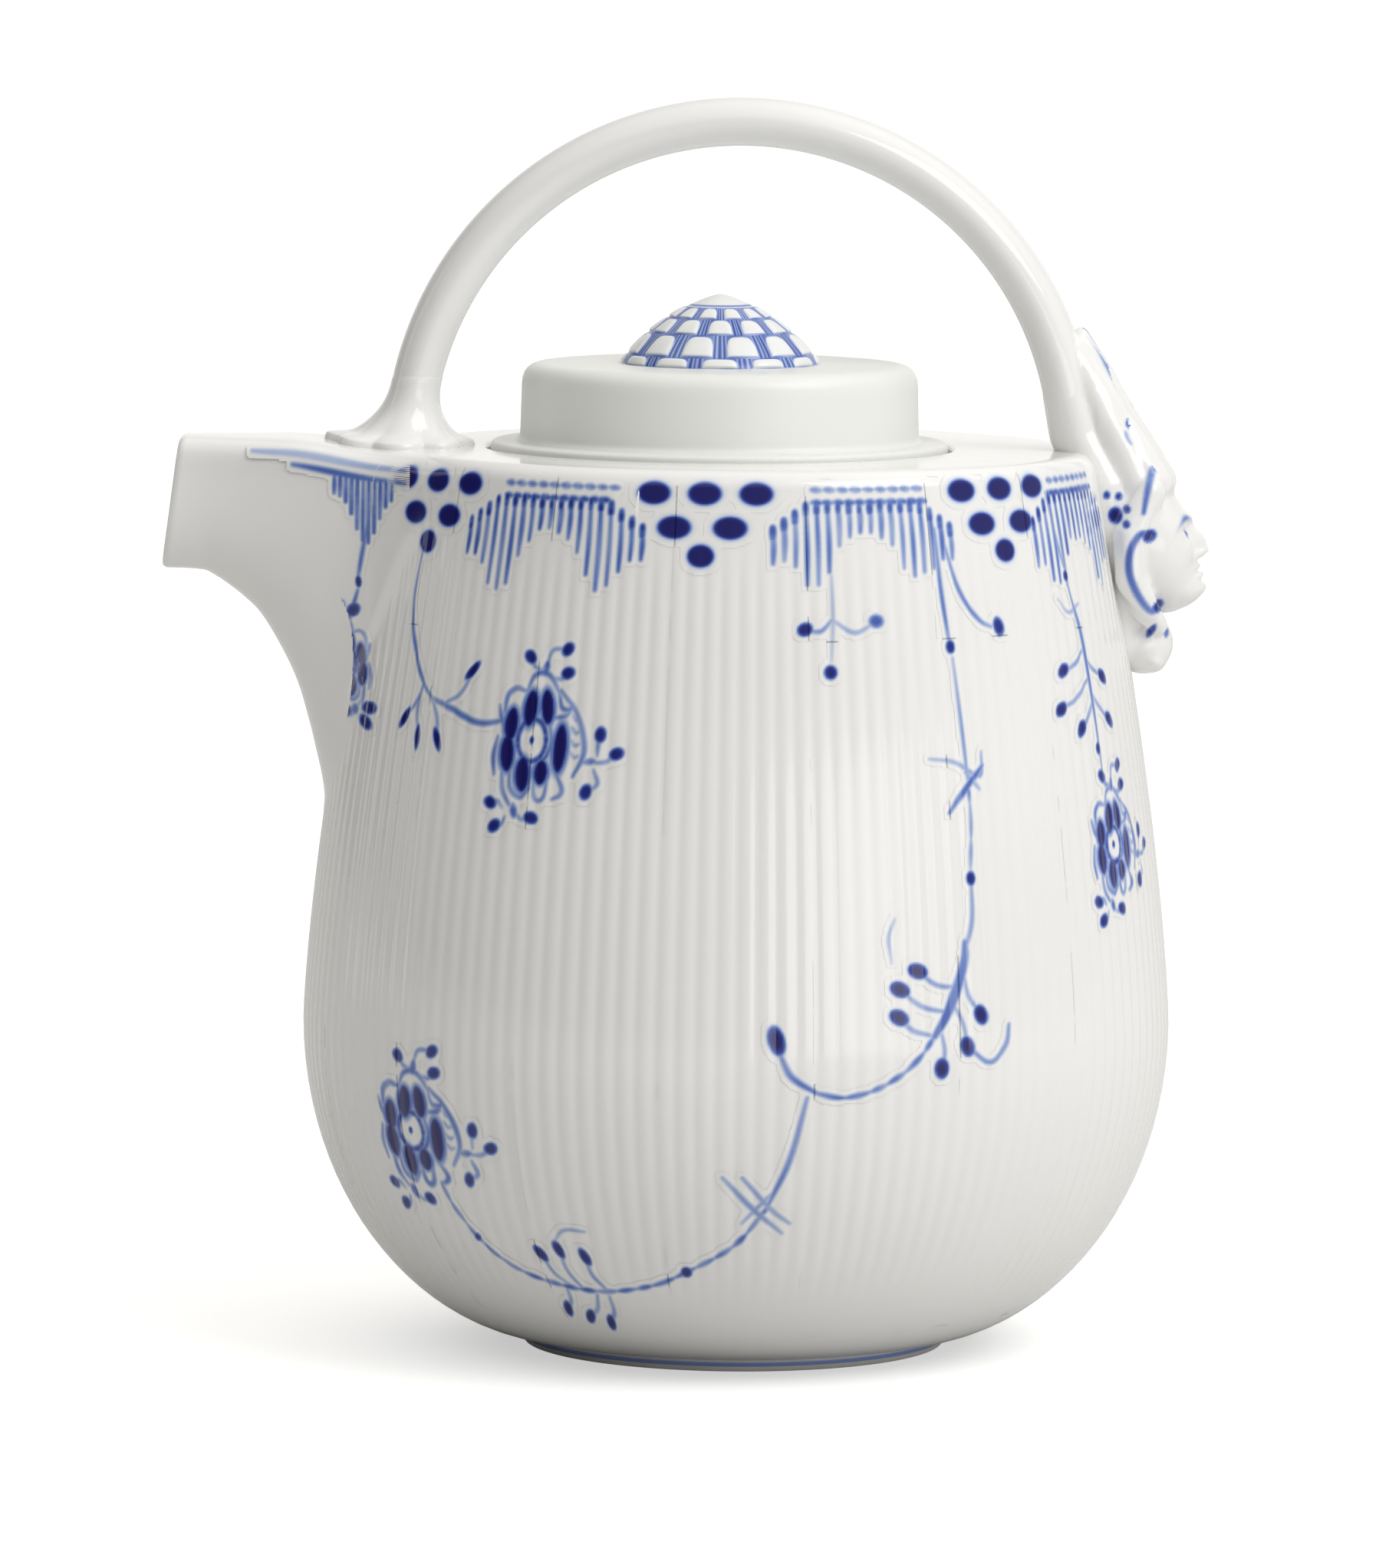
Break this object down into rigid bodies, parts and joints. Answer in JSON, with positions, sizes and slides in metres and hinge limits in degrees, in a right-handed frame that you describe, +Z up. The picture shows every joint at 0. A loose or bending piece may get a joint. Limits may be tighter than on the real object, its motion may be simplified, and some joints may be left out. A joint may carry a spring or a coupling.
{
  "type": "teapot",
  "caption": "Porcelain teapot with fluted barrel body, flat-topped beak spout, overhead bow handle, rear mask relief and lift-off drum lid.",
  "frame": {"origin": "centre of the foot ring, on the plane the pot stands on", "axes": "+Z up, the spout points to -X, the handle runs from the spout to the mask at +X, the lid lifts along +Z"},
  "size_m": [0.1475, 0.1224, 0.1762],
  "materials": {
    "porcelain_glaze": "clear gloss glaze on white porcelain",
    "lid_glaze": "soft satin glaze on white porcelain",
    "cobalt_painted_glaze": "hand-painted cobalt blue under a clear gloss glaze",
    "bare_porcelain": "unglazed, smooth, with a thin blue line on its edge"
  },
  "bodies": {
    "pot": {"foot_ring": "bare_porcelain", "body_shell": "porcelain_glaze", "shoulder_deck": "porcelain_glaze", "spout": "porcelain_glaze", "handle_bow": "porcelain_glaze", "handle_foot": "porcelain_glaze", "handle_root": "porcelain_glaze", "mask": "cobalt_painted_glaze", "hair_crest": "cobalt_painted_glaze", "chin_scroll": "cobalt_painted_glaze"},
    "lid": {"lid_drum": "lid_glaze", "lid_flange": "lid_glaze", "lid_collar": "lid_glaze", "knob": "cobalt_painted_glaze"}
  },
  "joints": [
    {"name": "lid_lift", "type": "slide", "parent": "pot", "child": "lid", "axis": [0, 0, 1], "range_m": [0, 0.018]}
  ]
}
